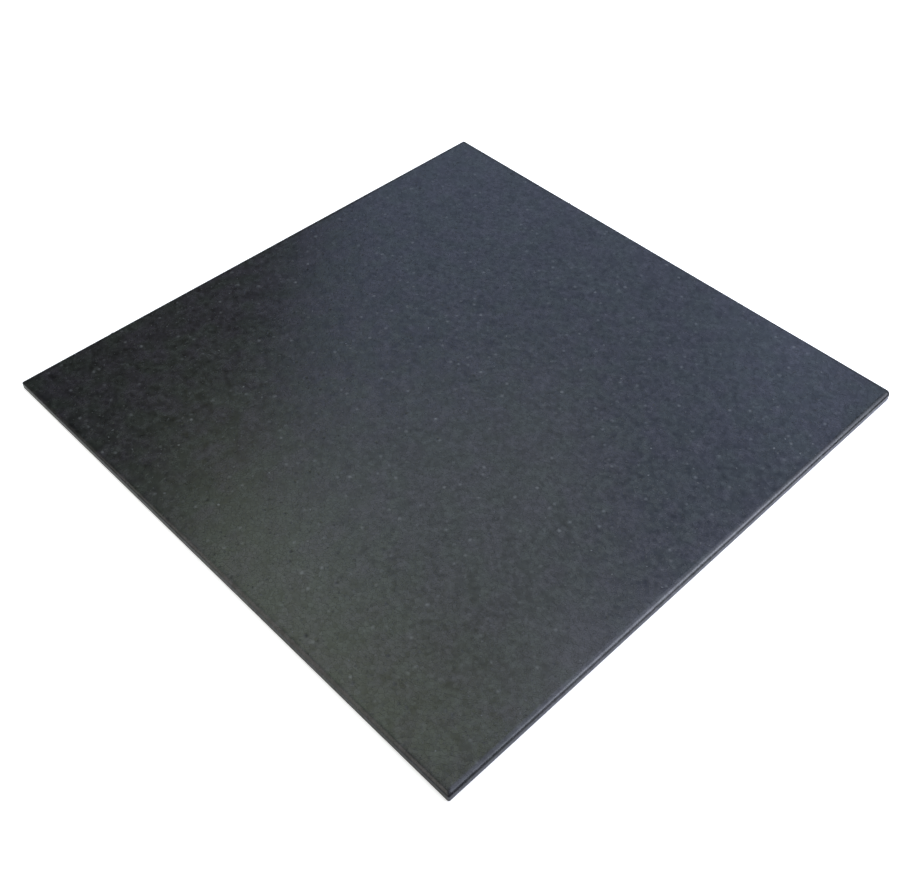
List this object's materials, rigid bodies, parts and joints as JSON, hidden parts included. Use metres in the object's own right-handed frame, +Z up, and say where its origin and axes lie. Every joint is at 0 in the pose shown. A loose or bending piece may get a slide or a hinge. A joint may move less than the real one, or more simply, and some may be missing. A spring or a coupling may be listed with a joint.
{
  "type": "rubber gym floor tile",
  "caption": "Square moulded crumb rubber floor tile for a gym, with a rounded edge round its top face. It lies loose on the floor and butts against its neighbours.",
  "frame": {"origin": "middle of the underside", "axes": "+Z up through the thickness, +X and +Y along the tile's two sides"},
  "size_m": [1, 1, 0.015],
  "materials": {
    "crumb_rubber": "pressed surface of bound rubber crumb with a satin sheen, near black, and blue grey where it catches the light, with fine mottling, small pits and sparse paler granules"
  },
  "bodies": {
    "root": {"rubber_tile": "crumb_rubber"}
  },
  "joints": []
}
